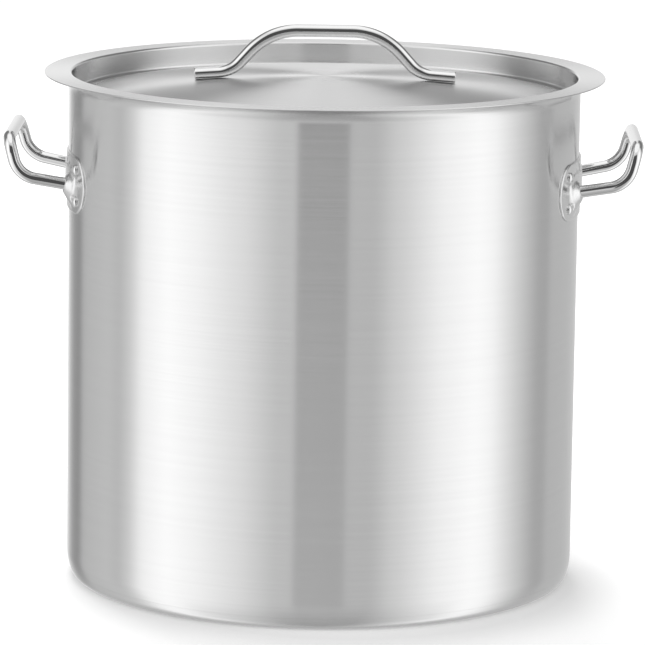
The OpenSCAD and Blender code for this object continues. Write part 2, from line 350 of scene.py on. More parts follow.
LAMP_AT = Vector((-0.5, 1.9, 2.4))
LAMP_AIM = Vector((0, 0, 0.1))
LAMP_SIZE = 1.5
LAMP_POWER = 46


def tent_light(n, direction):
    """Brightness of the tent in a direction, and the same with the dark room in front."""
    axes = n.add("ShaderNodeSeparateXYZ", {0: direction}).outputs
    angle = n.math("ARCTAN2", axes[0], n.math("MULTIPLY", axes[1], -1.0))
    angle = n.math("SUBTRACT", angle, CAMERA_SIDE)
    round_about = n.math("MULTIPLY_ADD", angle, 0.5 / pi, 0.5)
    turn = n.math("MULTIPLY", angle, 180 / pi)
    off_front = n.math("ABSOLUTE", turn)
    height = n.math("MULTIPLY", n.math("ARCSINE", axes[2]), 180 / pi)

    stops = [((at + 180) / 360, bright / STUDIO_TOP) for at, bright in STUDIO]
    light = n.math("MULTIPLY", n.ramp(round_about, stops), STUDIO_TOP)
    light = n.mix(n.rise(height, *HIGH_HEIGHTS), light, HIGH_SIDES)

    low_down = n.mix(n.rise(off_front, *LOW_TURNS), *LOW_DOWN)
    light = n.mix(n.rise(height, *LOW_HEIGHTS), light, n.math("MULTIPLY", light, low_down))
    near = n.mix(n.rise(off_front, *NEAR_TURNS), *NEAR_FLOOR)
    light = n.mix(n.rise(height, *NEAR_HEIGHTS), light, near)
    under = n.product(n.rise(off_front, *UNDER_TURNS), n.rise(height, *UNDER_HEIGHTS))
    light = n.mix(under, light, UNDER)

    flags = n.product(n.rise(off_front, *FLAG_TURNS), n.rise(off_front, *FLAG_GAP_TURNS),
                      n.rise(height, *FLAG_FOOT_HEIGHTS), n.rise(height, *FLAG_TOP_HEIGHTS))
    light = n.mix(flags, light, FLAGS)
    gap = n.product(n.rise(off_front, *GAP_TURNS), n.rise(height, *GAP_FOOT_HEIGHTS))
    light = n.mix(gap, light, n.mix(n.rise(height, *GAP_TOP_HEIGHTS), FRONT_GAP, HIGH_FRONT))
    light = n.mix(n.rise(height, *CEILING_HEIGHTS), light, CEILING)

    over_step = n.math("MULTIPLY_ADD", n.rise(turn, *ROOM_STEP_TURNS), -ROOM_STEP, height)
    room = n.product(n.rise(height, *ROOM_UP), n.rise(over_step, *ROOM_DOWN),
                     n.rise(turn, *ROOM_LEFT), n.rise(turn, *ROOM_RIGHT))
    return light, n.mix(room, light, n.math("MINIMUM", light, DARK_ROOM))


def add_world():
    """The tent as the metal shows it, and plain white behind the pot."""
    world = bpy.data.worlds.new("studio")
    bpy.context.scene.world = world
    world.use_nodes = True
    world.node_tree.nodes.clear()
    n = Nodes(world.node_tree)
    dark = tent_light(n, n.add("ShaderNodeTexCoord").outputs["Generated"])[1]
    studio = n.add("ShaderNodeBackground", {"Color": dark, "Strength": 1.0}).outputs[0]
    white = n.add("ShaderNodeBackground", {"Color": (1, 1, 1, 1), "Strength": 1.0}).outputs[0]
    seen = n.add("ShaderNodeLightPath").outputs["Is Camera Ray"]
    out = n.add("ShaderNodeMixShader", {0: seen, 1: studio, 2: white}).outputs[0]
    n.add("ShaderNodeOutputWorld", {"Surface": out})


def add_front_card(left_out):
    """A glowing card in front of the pot that fills the dark room for all but the mirror-bright pieces."""
    left, right = radians(ROOM_LEFT[0]), radians(ROOM_RIGHT[0])
    low, high = radians(ROOM_DOWN[0]), radians(ROOM_UP[0])
    vertices, faces = [], []
    for i in range(CARD_STEPS + 1):
        turn = CAMERA_SIDE + left + (right - left) * i / CARD_STEPS
        for k in range(CARD_STEPS + 1):
            up = low + (high - low) * k / CARD_STEPS
            vertices.append((CARD_R * cos(up) * sin(turn), -CARD_R * cos(up) * cos(turn), CARD_R * sin(up)))
    column = CARD_STEPS + 1
    for i in range(CARD_STEPS):
        for k in range(CARD_STEPS):
            a = i * column + k
            faces.append((a, a + 1, a + column + 1, a + column))
    mesh = bpy.data.meshes.new("front_card")
    mesh.from_pydata(vertices, [], faces)
    card = new_object("front_card", mesh)
    material, n = new_material("front_card")
    material.cycles.emission_sampling = "NONE"
    place = n.add("ShaderNodeTexCoord").outputs["Object"]
    direction = n.add("ShaderNodeVectorMath", {0: place}, operation="NORMALIZE").outputs[0]
    light, dark = tent_light(n, direction)
    clear = n.add("ShaderNodeBsdfTransparent").outputs[0]
    n.finish_with_glow(clear, n.math("SUBTRACT", light, dark))
    mesh.materials.append(material)
    card.visible_camera = False
    card.visible_shadow = False
    group = bpy.data.collections.new("mirror_bright")
    for piece in left_out:
        group.objects.link(piece)
    for member in group.collection_objects:
        member.light_linking.link_state = "EXCLUDE"
    card.light_linking.receiver_collection = group


def add_floor():
    """A white floor that the metal doesn't show, with a painted glow that only the camera sees: weak near the pot, so
    that it paints the shape of the pot's shadow.
    """
    mesh = bpy.data.meshes.new("floor")
    bm = bmesh.new()
    bmesh.ops.create_circle(bm, cap_ends=True, segments=FLOOR_SIDES, radius=FLOOR_R)
    bm.to_mesh(mesh)
    bm.free()
    floor = new_object("floor", mesh)
    floor.location.z = cad_low.z
    material, n = new_material("floor_white")
    cloth = n.add("ShaderNodeBsdfDiffuse", {"Color": (FLOOR_WHITE, FLOOR_WHITE, FLOOR_WHITE, 1)}).outputs[0]
    seen = n.add("ShaderNodeLightPath").outputs["Is Camera Ray"]
    place = n.stretch(n.add("ShaderNodeTexCoord").outputs["Object"], GLOW_STRETCH, 1, 1)
    away = n.add("ShaderNodeVectorMath", {0: place, 1: GLOW_MIDDLE}, operation="DISTANCE").outputs["Value"]
    # painted light: the camera sees the floor brighter the farther it is from the pot, which leaves painted shade
    # close to the pot
    lift = n.ramp(n.math("MULTIPLY", away, 1 / GLOW_SPAN), [(at / GLOW_SPAN, value) for at, value in PAINTED_FLOOR_GLOW])
    n.finish_with_glow(cloth, n.math("MULTIPLY", seen, lift))
    mesh.materials.append(material)
    floor.visible_glossy = False


def add_lamp():
    """A wide lamp high behind the pot, a little to the left: it gives the floor its shadow, and no metal shows it."""
    data = bpy.data.lights.new("key", "AREA")
    data.shape = "SQUARE"
    data.size = LAMP_SIZE
    data.energy = LAMP_POWER
    lamp = new_object("key", data)
    lamp.visible_glossy = False
    aim = (LAMP_AIM - LAMP_AT).to_track_quat("-Z", "Y").to_matrix().to_4x4()
    lamp.matrix_world = Matrix.Translation(LAMP_AT) @ aim


# ---------------------------------------------------------------- materials

# Noise scales are per metre
CROSSWISE = 0.25  # a quarter turn: the gloss spreads across the lines
DOME_EDGE = (0.186, 0.180)  # how far from the axis the lid's duller dome begins
DOME_MIDDLE = (0.01, 0.05)  # and where it ends round its middle


def metal(name, base, roughness, anisotropic=0.0):
    """A bare metal: returns the material, its node helper, its shader and its Object coordinates."""
    material, n = new_material(name)
    shader = n.add("ShaderNodeBsdfPrincipled", {"Metallic": 1.0, "Roughness": roughness,
                                                "Base Color": (base, base, base, 1)})
    shader.inputs["Anisotropic"].default_value = anisotropic
    if anisotropic:
        shader.inputs["Anisotropic Rotation"].default_value = CROSSWISE
        n.put(shader.inputs["Tangent"], n.add("ShaderNodeTangent", direction_type="RADIAL", axis="Z").outputs[0])
    n.add("ShaderNodeOutputMaterial", {"Surface": shader.outputs[0]})
    place = n.add("ShaderNodeTexCoord").outputs["Object"]
    return material, n, shader, place


def grey(n, factor, low, high):
    """A neutral colour between two greys."""
    return n.ramp(factor, [(0.0, low), (1.0, high)])


def bump(n, shader, height, distance, strength):
    node = n.add("ShaderNodeBump", {"Height": height, "Distance": distance, "Strength": strength})
    n.put(shader.inputs["Normal"], node.outputs[0])


def ruffle(n, shader, noise, amount):
    """Tips the surface up and down by a noise, as the ridges of a brushed finish do."""
    normal = n.add("ShaderNodeNewGeometry").outputs["Normal"]
    tip = n.math("MULTIPLY", n.math("SUBTRACT", noise, 0.5), amount)
    upward = n.add("ShaderNodeCombineXYZ", {2: tip}).outputs[0]
    tipped = n.add("ShaderNodeVectorMath", {0: normal, 1: upward}).outputs[0]
    tipped = n.add("ShaderNodeVectorMath", {0: tipped}, operation="NORMALIZE").outputs[0]
    n.put(shader.inputs["Normal"], tipped)


def brushed_wall():
    """Satin steel with fine lines that run round the pot."""
    material, n, shader, place = metal("brushed_wall", 0.74, 0.2, 1.0)
    fine = n.noise(n.stretch(place, 8, 8, 2600), 1.0, 2)
    coarse = n.noise(n.stretch(place, 3, 3, 420), 1.0, 3)
    patch = n.noise(place, 5.0, 2)
    lines = n.math("MULTIPLY_ADD", coarse, 0.5, n.math("MULTIPLY", fine, 0.5))
    n.put(shader.inputs["Base Color"], grey(n, lines, 0.69, 0.77))
    rough = n.math("MULTIPLY_ADD", patch, 0.05, n.between(lines, 0.15, 0.21))
    n.put(shader.inputs["Roughness"], rough)
    ruffle(n, shader, fine, 0.12)
    return material


def from_axis(n, place):
    """The place laid flat, and its distance from the Z axis."""
    axes = n.add("ShaderNodeSeparateXYZ", {0: place}).outputs
    flat = n.add("ShaderNodeCombineXYZ", {0: axes[0], 1: axes[1]}).outputs[0]
    return flat, n.add("ShaderNodeVectorMath", {0: flat}, operation="LENGTH").outputs["Value"]


def ring_lines(n, place, count):
    """Lines in rings about the Z axis, a little broken along their length."""
    flat, radius = from_axis(n, place)
    way = n.add("ShaderNodeVectorMath", {0: flat}, operation="NORMALIZE").outputs[0]
    way = n.add("ShaderNodeSeparateXYZ", {0: way}).outputs
    ringed = n.add("ShaderNodeCombineXYZ", {0: way[0], 1: way[1], 2: n.math("MULTIPLY", radius, count)}).outputs[0]
    return n.noise(ringed, 1.0, 3)


def spun_steel(name, base, roughness, anisotropic, dome_roughness=None):
    """Satin steel with spun rings round the Z axis; a dome in its middle may be duller."""
    material, n, shader, place = metal(name, base, roughness, anisotropic)
    fine = ring_lines(n, place, 1900)
    coarse = ring_lines(n, place, 240)
    lines = n.math("MULTIPLY_ADD", coarse, 0.45, n.math("MULTIPLY", fine, 0.55))
    n.put(shader.inputs["Base Color"], grey(n, lines, base - 0.04, base + 0.04))
    rough = n.between(lines, roughness - 0.04, roughness + 0.05)
    if dome_roughness:
        radius = from_axis(n, place)[1]
        dome = n.product(n.rise(radius, *DOME_EDGE), n.rise(radius, *DOME_MIDDLE))
        rough = n.math("MULTIPLY_ADD", dome, dome_roughness - roughness, rough)
    n.put(shader.inputs["Roughness"], rough)
    bump(n, shader, lines, 0.00002, 0.5)
    return material


def polished_steel(name, base=0.8, roughness=0.07):
    """Mirror steel with faint polishing waves and hand marks."""
    material, n, shader, place = metal(name, base, roughness)
    marks = n.noise(place, 60.0, 4, 0.6)
    n.put(shader.inputs["Roughness"], n.between(marks, roughness - 0.03, roughness + 0.06))
    n.put(shader.inputs["Base Color"], grey(n, marks, base - 0.03, base + 0.03))
    bump(n, shader, marks, 0.00001, 0.3)
    return material


def pressed_steel():
    """Tumbled sheet with a soft pebbled gloss."""
    material, n, shader, place = metal("pressed_plate", 0.78, 0.2)
    pebble = n.noise(place, 420.0, 3, 0.55)
    patch = n.noise(place, 40.0, 3)
    n.put(shader.inputs["Roughness"], n.between(patch, 0.16, 0.28))
    n.put(shader.inputs["Base Color"], grey(n, patch, 0.74, 0.82))
    bump(n, shader, pebble, 0.00005, 0.35)
    return material


def rolled_aluminium():
    """Plain aluminium with a rolled grain."""
    material, n, shader, place = metal("aluminium_core", 0.8, 0.35)
    grain = n.noise(n.stretch(place, 40, 900, 40), 1.0, 3)
    n.put(shader.inputs["Roughness"], n.between(grain, 0.3, 0.42))
    n.put(shader.inputs["Base Color"], grey(n, grain, 0.76, 0.84))
    bump(n, shader, grain, 0.00003, 0.4)
    return material


def weld_metal():
    """Weld as it set, a little brown in places."""
    material, n, shader, place = metal("weld_metal", 0.5, 0.4)
    scale = n.noise(place, 500.0, 4, 0.6)
    n.put(shader.inputs["Base Color"], n.ramp(scale, [(0.3, (0.42, 0.39, 0.36)), (0.7, (0.56, 0.56, 0.58))]))
    n.put(shader.inputs["Roughness"], n.between(scale, 0.3, 0.5))
    bump(n, shader, scale, 0.0002, 0.6)
    return material


# ---------------------------------------------------------------- mesh helpers


def new_piece(name, vertices, faces, material):
    mesh = bpy.data.meshes.new(name)
    mesh.from_pydata([tuple(v) for v in vertices], [], faces)
    mesh.polygons.foreach_set("use_smooth", [True] * len(mesh.polygons))
    mesh.materials.append(material)
    mesh.update()
    return new_object(name, mesh)


def arc(centre, radius, start, stop, steps):
    """Points of an arc in the section plane; angles in degrees, 0 is outwards and 90 is up."""
    turns = [radians(start + (stop - start) * k / steps) for k in range(steps + 1)]
    return [(centre[0] + radius * cos(t), centre[1] + radius * sin(t)) for t in turns]


def held(outline):
    """Adds a point near each end of every long straight, so that smooth shading stays flat there."""
    points = []
    for a, b in zip(outline, outline[1:]):
        points.append(a)
        length = sqrt((b[0] - a[0]) ** 2 + (b[1] - a[1]) ** 2)
        if length > LONG_STRAIGHT:
            for share in (HOLD_FAR / length, 1 - HOLD_FAR / length):
                points.append((a[0] + (b[0] - a[0]) * share, a[1] + (b[1] - a[1]) * share))
    points.append(outline[-1])
    return points


def lathe(name, outline, material, around=288):
    """Turns an outline about Z. It starts and ends on the axis, and runs with the metal on its left."""
    outline = held(outline)
    vertices = []
    rows = []
    for r, z in outline:
        if r < ON_AXIS:
            rows.append([len(vertices)])
            vertices.append((0, 0, z))
            continue
        rows.append(list(range(len(vertices), len(vertices) + around)))
        vertices += [(r * sin(2 * pi * k / around), r * cos(2 * pi * k / around), z) for k in range(around)]
    faces = []
    for low, high in zip(rows, rows[1:]):
        for k in range(around):
            j = (k + 1) % around
            if len(low) == 1:
                faces.append((low[0], high[k], high[j]))
            elif len(high) == 1:
                faces.append((low[j], low[k], high[0]))
            else:
                faces.append((low[j], low[k], high[k], high[j]))
    return new_piece(name, vertices, faces, material)


def corner_turn(a, b):
    """The angle between two directions."""
    return acos(max(-1.0, min(1.0, a.normalized().dot(b.normalized()))))


def rounded_path(corners, bends, steps=16):
    """The path along corners with each inner corner rounded: a list of (point, direction)."""
    path = [(corners[0], (corners[1] - corners[0]).normalized())]
    for k in range(1, len(corners) - 1):
        u = (corners[k] - corners[k - 1]).normalized()
        v = (corners[k + 1] - corners[k]).normalized()
        angle = corner_turn(u, v)
        across = (v - u * u.dot(v)).normalized()
        r = bends[k - 1]
        centre = corners[k] - u * r * tan(angle / 2) + across * r
        for s in range(steps + 1):
            t = angle * s / steps
            path.append((centre - across * r * cos(t) + u * r * sin(t), u * cos(t) + across * sin(t)))
    path.append((corners[-1], (corners[-1] - corners[-2]).normalized()))
    return path


def hold_ends(path, near, far):
    """Adds two places close to each end of a path, so that smooth shading stays flat along it."""
    (start, way), (stop, back) = path[0], path[-1]
    path[1:1] = [(start + way * d, way) for d in (near, far)]
    path[-1:-1] = [(stop - back * d, back) for d in (far, near)]


def sweep(path, outline_at):
    """Carries closed outlines along a path: returns the rings of points. outline_at(k) gives ring k's outline."""
    rings = []
    up = Vector((0, 0, 1))
    for k, (point, way) in enumerate(path):
        up = (up - way * up.dot(way)).normalized()
        side = way.cross(up)
        rings.append([point + side * x + up * y for x, y in outline_at(k)])
    return rings


def skin(rings):
    """Faces between rings of equal length, open at both ends."""
    n = len(rings[0])
    faces = []
    for a in range(0, (len(rings) - 1) * n, n):
        faces += [(a + i, a + n + i, a + n + (i + 1) % n, a + (i + 1) % n) for i in range(n)]
    return faces


def circle_outline(r, sides):
    return [(r * cos(2 * pi * k / sides), r * sin(2 * pi * k / sides)) for k in range(sides)]


def soft_max(a, b, width):
    """The larger of a and b, blended over width."""
    h = max(0.0, min(1.0, 0.5 + 0.5 * (b - a) / width))
    return a + (b - a) * h + width * h * (1 - h)


def soft_min(a, b, width):
    return -soft_max(-a, -b, width)


def smoothstep(low, high, x):
    """0 up to low and 1 from high on, with a soft slope between."""
    t = max(0.0, min(1.0, (x - low) / (high - low)))
    return t * t * (3 - 2 * t)


# ---------------------------------------------------------------- pot

# The foot sweeps in from the wall on a wide curve, which runs on into the cap's rounded edge
CAP_EDGE = (CAP_R - CAP_EDGE_R, CAP_EDGE_R)
SWEEP_RISE = sqrt((SWEEP_R - CAP_EDGE_R) ** 2 - (CAP_R - CAP_EDGE_R - WALL_R + SWEEP_R) ** 2)
SWEEP = (WALL_R - SWEEP_R, CAP_EDGE_R + SWEEP_RISE)
SWEEP_LOW = -degrees(asin(SWEEP_RISE / (SWEEP_R - CAP_EDGE_R)))


def sweep_turn(z):
    """The angle on the wide curve at a height."""
    return -degrees(asin((SWEEP[1] - z) / SWEEP_R))


def make_pot_shell(material):
    """The drawn pot: a rounded corner at the foot, the wall, and a lip turned outwards."""
    edge = WALL_T / 2
    bend_x, bend_z = WALL_R + LIP_BEND_R, LIP_Z - LIP_BEND_R - WALL_T
    corner = (WALL_R - CORNER_R, POT_BOTTOM + CORNER_R)
    joint = cap_high.z + CAP_JOINT
    outline = [(0, POT_BOTTOM)]
    outline += arc(corner, CORNER_R, -90, -degrees(asin((corner[1] - joint) / CORNER_R)), 8)
    outline += arc(SWEEP, SWEEP_R, sweep_turn(joint), sweep_turn(joint + HOLD_NEAR), 1)
    outline += arc(SWEEP, SWEEP_R, sweep_turn(joint + HOLD_FAR), 0, 16)
    outline += arc((bend_x, bend_z), LIP_BEND_R, 180, 90, 20)
    outline += arc((LIP_R - edge, LIP_Z - edge), edge, -90, 90, 8)
    outline += arc((bend_x, bend_z), LIP_BEND_R + WALL_T, 90, 180, 20)
    outline += arc(corner, CORNER_R - WALL_T, 0, -90, 16)
    outline += [(0, POT_BOTTOM + WALL_T)]
    return lathe("pot_body", outline, material)


def make_base_cap(material):
    """The cap under the pot, which holds the core disc."""
    top = cap_high.z
    outline = [(0, 0)]
    outline += arc(CAP_EDGE, CAP_EDGE_R, -90, SWEEP_LOW, 16)
    outline += arc(SWEEP, SWEEP_R, SWEEP_LOW, sweep_turn(top - HOLD_FAR), 8)[1:]
    outline += arc(SWEEP, SWEEP_R, sweep_turn(top - HOLD_NEAR), sweep_turn(top), 1)
    outline += [(CAP_R - CAP_T, top)]
    outline += arc(CAP_EDGE, CAP_EDGE_R - CAP_T, 0, -90, 16)
    outline += [(0, CAP_T)]
    return lathe("base_cap_turned", outline, material)


# ---------------------------------------------------------------- lid

SUNK_R = WALL_R - WALL_T - LID_GAP
DOME_Z = RIM_Z + DOME_RISE - DOME_R
TROUGH_X = SUNK_R - LID_T - TROUGH_R
TROUGH_Z = DOME_Z + sqrt((DOME_R + TROUGH_R) ** 2 - TROUGH_X ** 2)
TROUGH_TURN = degrees(asin(TROUGH_X / (DOME_R + TROUGH_R)))


def dome_top(x):
    """The height of the dome's top side."""
    return DOME_Z + sqrt(DOME_R ** 2 - x ** 2)


def lid_side(deep):
    """The lid's section from the rim in to the middle, deep below the top side."""
    side = arc((SUNK_R - LID_T + LID_EDGE_R, RIM_Z - LID_EDGE_R), LID_EDGE_R - deep, 90, 180, 12)
    side += arc((TROUGH_X, TROUGH_Z), TROUGH_R + deep, 0, -90 - TROUGH_TURN, 20)
    side += arc((0, DOME_Z), DOME_R - deep, 90 - TROUGH_TURN, 90, 72)
    side[-1] = (0, side[-1][1])
    return side


def make_lid(material):
    """The lid: a flat rim, a sunken wall, a trough and a low dome."""
    edge = LID_T / 2
    under = lid_side(LID_T)
    outline = under[::-1] + arc((LID_R - edge, RIM_Z - edge), edge, -90, 90, 10) + lid_side(0)
    return lathe("lid_pan", outline, material, around=320)


def lid_handle_corners():
    """The corners of the handle's middle line, from the right foot's end to the left one's."""
    foot_half = LID_TUBE_R * FOOT_PRESS + FOOT_CLEAR
    foot = Vector((LID_FOOT_X, 0, dome_top(LID_FOOT_X) + foot_half))
    end = Vector((LID_END_X, 0, dome_top(LID_END_X) + foot_half))
    rise = Vector((LID_FOOT_X - (LID_GRIP_Z - foot.z) / tan(LID_RISE_ANGLE), 0, LID_GRIP_Z))
    right = [end, foot, rise]
    return right + [Vector((-p.x, p.y, p.z)) for p in reversed(right)]


def pressed_outline(r, flat, sides):
    """A round outline, pressed to the share flat of its height: it gets wider, and its underside flat."""
    wide = 1 + FOOT_SPREAD * (1 - flat)
    return [(r * x * wide, r * flat * max(y, -FOOT_SOLE)) for x, y in circle_outline(1, sides)]


def make_lid_handle(material):
    """A bent tube with pressed feet and open ends, whose cut edges are rounded."""
    sides = BAR_SIDES
    corners = lid_handle_corners()
    path = rounded_path(corners, [LID_FOOT_BEND, LID_TOP_BEND, LID_TOP_BEND, LID_FOOT_BEND], 20)
    hold_ends(path, TUBE_CUT_R, 4 * TUBE_CUT_R)
    u = (corners[1] - corners[0]).normalized()
    v = (corners[2] - corners[1]).normalized()
    reach = LID_FOOT_BEND * tan(corner_turn(u, v) / 2)

    def flat_at(k):
        return 1 - (1 - FOOT_PRESS) * smoothstep(-reach, reach, abs(path[k][0].x) - LID_FOOT_X)

    last = len(path) - 1

    def outer(k):
        return pressed_outline(LID_TUBE_R - (TUBE_CUT_R if k in (0, last) else 0), flat_at(k), sides)

    def inner(k):
        flat = 1 - (1 - flat_at(k)) * LID_TUBE_R / LID_BORE_R
        return pressed_outline(LID_BORE_R + (TUBE_CUT_R if k in (0, last) else 0), flat, sides)

    loop = sweep(path, outer) + sweep(path, inner)[::-1]
    vertices = [p for ring in loop for p in ring]
    faces = skin(loop)
    end = (len(loop) - 1) * sides
    faces += [(end + i, i, (i + 1) % sides, end + (i + 1) % sides) for i in range(sides)]
    return new_piece("lid_handle_tube", vertices, faces, material)


# ---------------------------------------------------------------- lift handles, made on the +X side


def arm_way(s):
    """The direction in which an arm leaves the wall; s is 1 for the arm towards +Y and -1 for the other."""
    return Vector((cos(ARM_SPREAD), s * sin(ARM_SPREAD), tan(ARM_SLOPE)))


def root(s):
    """Where an arm's middle line leaves the wall."""
    return Vector((sqrt(WALL_R ** 2 - ROOT_Y ** 2), s * ROOT_Y, ROOT_Z))


def knee(s):
    return root(s) + arm_way(s) * ARM_LEN


def grip_corner(s):
    return Vector((knee(s).x + (GRIP_Z - knee(s).z) * tan(LEAN), s * GRIP_Y, GRIP_Z))


def make_bar(name, material, side):
    """The bent bar that is held: two arms, two knees and a grip."""
    sides = BAR_SIDES
    corners = [root(-1) + arm_way(-1) * BAR_IN, knee(-1), grip_corner(-1)]
    corners += [grip_corner(1), knee(1), root(1) + arm_way(1) * BAR_IN]
    path = rounded_path(corners, [KNEE_BEND, GRIP_BEND, GRIP_BEND, KNEE_BEND], 24)
    hold_ends(path, HOLD_NEAR, HOLD_FAR)
    rings = sweep(path, lambda k: circle_outline(BAR_R, sides))
    vertices = [p for ring in rings for p in ring] + [path[0][0], path[-1][0]]
    faces = skin(rings)
    a, b = len(vertices) - 2, len(vertices) - 1
    end = (len(rings) - 1) * sides
    faces += [(a, i, (i + 1) % sides) for i in range(sides)]
    faces += [(b, end + (i + 1) % sides, end + i) for i in range(sides)]
    return new_piece(name, *mirrored(vertices, faces, side), material)


def mirrored(vertices, faces, side):
    """The same piece on the +X side (1), or mirrored to the -X side (-1) with its faces still outwards."""
    if side > 0:
        return vertices, faces
    return [(-v[0], v[1], v[2]) for v in vertices], [tuple(reversed(f)) for f in faces]


def inside_round_ended(y, z, half_h, half_l):
    """How far (y, z) is inside a round-ended outline about the plate's middle; negative outside."""
    along = max(0.0, abs(y) - (half_l - half_h))
    return half_h - sqrt(along ** 2 + (z - PLATE_Z) ** 2)


def wall_point(y, z, height):
    """The point height above the wall at the plate's own coordinates, y being measured straight across."""
    turn = asin(y / SHEET_R)
    r = WALL_R + height
    return Vector((r * cos(turn), r * sin(turn), z))


def boss_height(y, z):
    """The radial height of the boss nearest to (y, z)."""
    s = 1 if y > 0 else -1
    axis = arm_way(s).normalized()
    height = PLATE_T
    # Steps out from the wall until the point lies on the cone round the arm
    for _ in range(8):
        offset = wall_point(y, z, height) - root(s)
        along = offset.dot(axis)
        away = (offset - axis * along).length
        target = soft_min((BOSS_BASE_R - away) / BOSS_TAPER, BOSS_H, BOSS_MOUTH_SOFT)
        height += 0.8 * (target - along)
    return height


def rivet_middles():
    y = SHEET_R * sin(RIVET_ANGLE)
    return [(side * y, PLATE_Z + up * RIVET_HALF_H) for side in (-1, 1) for up in (-1, 1)]


def rivet_distance(y, z):
    """Distance from (y, z) to the middle of the nearest rivet."""
    across = (abs(y) - SHEET_R * sin(RIVET_ANGLE)) / cos(RIVET_ANGLE)
    return sqrt(across ** 2 + (abs(z - PLATE_Z) - RIVET_HALF_H) ** 2)


def sheet_height(y, z):
    """The outer face of the pressed plate, above the wall."""
    field = smoothstep(-FIELD_SOFT, FIELD_SOFT, inside_round_ended(y, z, FIELD_HALF_H, FIELD_HALF_L))
    height = PLATE_T + FIELD_RISE * field
    if abs(abs(y) - ROOT_Y) < BOSS_BOX[0] and abs(z - PLATE_Z) < BOSS_BOX[1]:
        height = soft_max(height, boss_height(y, z), BOSS_FOOT_SOFT)
        height = PLATE_T + (height - PLATE_T) * smoothstep(*SEAT, rivet_distance(y, z))
    edge = inside_round_ended(y, z, PLATE_HALF_H, PLATE_HALF_L)
    if edge < PLATE_ROLL:
        height -= PLATE_ROLL - sqrt(max(0.0, PLATE_ROLL ** 2 - (PLATE_ROLL - max(0.0, edge)) ** 2))
    return height


def round_ended_points(half_h, half_l, inset, spacing):
    """Points along a round-ended outline, inset by a distance."""
    r = half_h - inset
    straight = half_l - half_h
    count = max(12, int(pi * r / spacing))
    along = max(8, int(2 * straight / spacing))
    points = []
    for side in (1, -1):
        points += [(side * straight + r * cos(t), PLATE_Z + r * sin(t))
                   for t in [pi * (k / count - 0.5) + (0 if side > 0 else pi) for k in range(count + 1)]]
        z = PLATE_Z + side * r
        points += [(side * straight * (1 - 2 * k / along), z) for k in range(1, along)]
    return points


def boss_points(s):
    """Points on rings round an arm, at the plate's own coordinates, from the bore outwards."""
    axis = arm_way(s).normalized()
    up = (Vector((0, 0, 1)) - axis * axis.z).normalized()
    side = axis.cross(up)
    rings = []
    for radius in BOSS_RINGS:
        along = max(0.0, min(BOSS_H, (BOSS_BASE_R - radius) / BOSS_TAPER))
        ring = []
        for x, y in circle_outline(radius, 72):
            p = root(s) + axis * along + side * x + up * y
            ring.append((SHEET_R * sin(atan2(p.y, p.x)), p.z))
        rings.append(ring)
    return rings


def open_field(y, z):
    """Whether (y, z) is far enough from the plate's edge, its field's slope, its bosses and its rivets."""
    return (inside_round_ended(y, z, PLATE_HALF_H, PLATE_HALF_L) > NET_TO_EDGE
            and abs(inside_round_ended(y, z, FIELD_HALF_H, FIELD_HALF_L)) > NET_PITCH
            and clear_of_bosses(y, z) and rivet_distance(y, z) > RIVET_CLEAR)


def clear_of_bosses(y, z):
    return all((y - s * ROOT_Y) ** 2 + (z - PLATE_Z) ** 2 > BOSS_REACH ** 2 for s in (-1, 1))


def make_plate(name, material, side):
    """The pressed plate: its outer face over a triangle net that follows its own features."""
    points = round_ended_points(PLATE_HALF_H, PLATE_HALF_L, 0, EDGE_PITCH)
    edges = [(k, (k + 1) % len(points)) for k in range(len(points))]
    for inset in EDGE_INSETS:
        points += round_ended_points(PLATE_HALF_H, PLATE_HALF_L, inset, EDGE_PITCH)
    for step in FIELD_STEPS:
        ring = round_ended_points(FIELD_HALF_H + step, FIELD_HALF_L + step, 0, FIELD_PITCH)
        points += [p for p in ring if clear_of_bosses(*p)]
    rows = int(PLATE_HALF_H / NET_PITCH)
    columns = int(PLATE_HALF_L / NET_PITCH)
    for i in range(-columns, columns + 1):
        for j in range(-rows, rows + 1):
            y, z = (i + 0.5 * (j % 2)) * NET_PITCH, PLATE_Z + j * NET_PITCH
            if open_field(y, z):
                points.append((y, z))
    for y, z in rivet_middles():
        for radius in SEAT_RINGS:
            points += [(y + across * cos(RIVET_ANGLE), z + up) for across, up in circle_outline(radius, 32)]
    bores = []
    for rings in (boss_points(-1), boss_points(1)):
        bores.append(rings[0])
        start = len(points)
        count = len(rings[0])
        edges += [(start + k, start + (k + 1) % count) for k in range(count)]
        for ring in rings:
            points += [p for p in ring if inside_round_ended(*p, PLATE_HALF_H, PLATE_HALF_L) > BOSS_TO_EDGE
                       and rivet_distance(*p) > RIVET_CLEAR]
    flat, _, triangles, _, _, _ = delaunay_2d_cdt([Vector(p) for p in points], edges, [], 0, 1e-7)

    def in_bore(triangle):
        y = sum(flat[i].x for i in triangle) / 3
        z = sum(flat[i].y for i in triangle) / 3
        return any(inside_loop(y, z, bore) for bore in bores)

    return plate_solid(name, flat, [t for t in triangles if not in_bore(t)], material, side)


def inside_loop(y, z, loop):
    """Whether (y, z) is inside a closed loop of points."""
    inside = False
    for (y1, z1), (y2, z2) in zip(loop, loop[1:] + loop[:1]):
        if (z1 > z) != (z2 > z) and y < (y2 - y1) * (z - z1) / (z2 - z1) + y1:
            inside = not inside
    return inside


